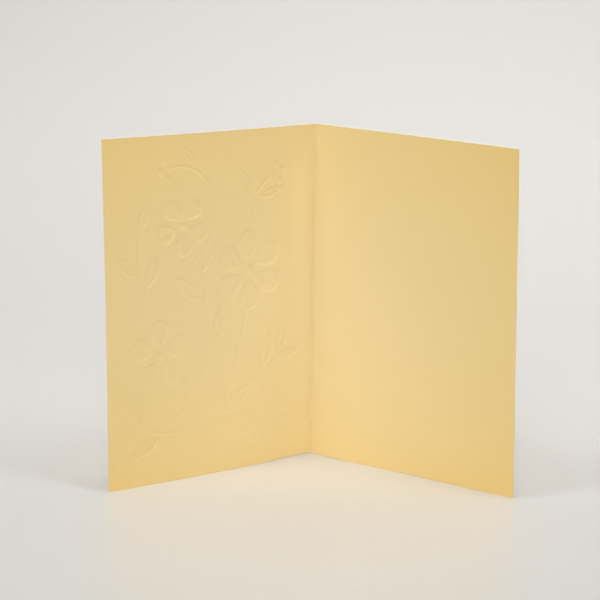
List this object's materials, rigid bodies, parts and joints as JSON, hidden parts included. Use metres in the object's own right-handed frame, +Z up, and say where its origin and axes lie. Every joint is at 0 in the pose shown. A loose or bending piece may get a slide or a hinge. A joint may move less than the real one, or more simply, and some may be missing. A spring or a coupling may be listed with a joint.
{
  "type": "greeting card",
  "caption": "Upright greeting card of thick pearl yellow card, folded once and open in a V, with a creased fold and an embossed flower spray on the front cover.",
  "frame": {"origin": "on the surface the card stands on, at the middle of its footprint's bounding box", "axes": "+Z up along the fold, +X across the open card from the front cover to the back cover as seen from the inside, +Y towards the fold, so that the card opens towards -Y"},
  "size_m": [0.2074, 0.0806, 0.1778],
  "materials": {
    "pearl_card": "satin"
  },
  "bodies": {
    "root": {"card": "pearl_card"}
  },
  "joints": []
}
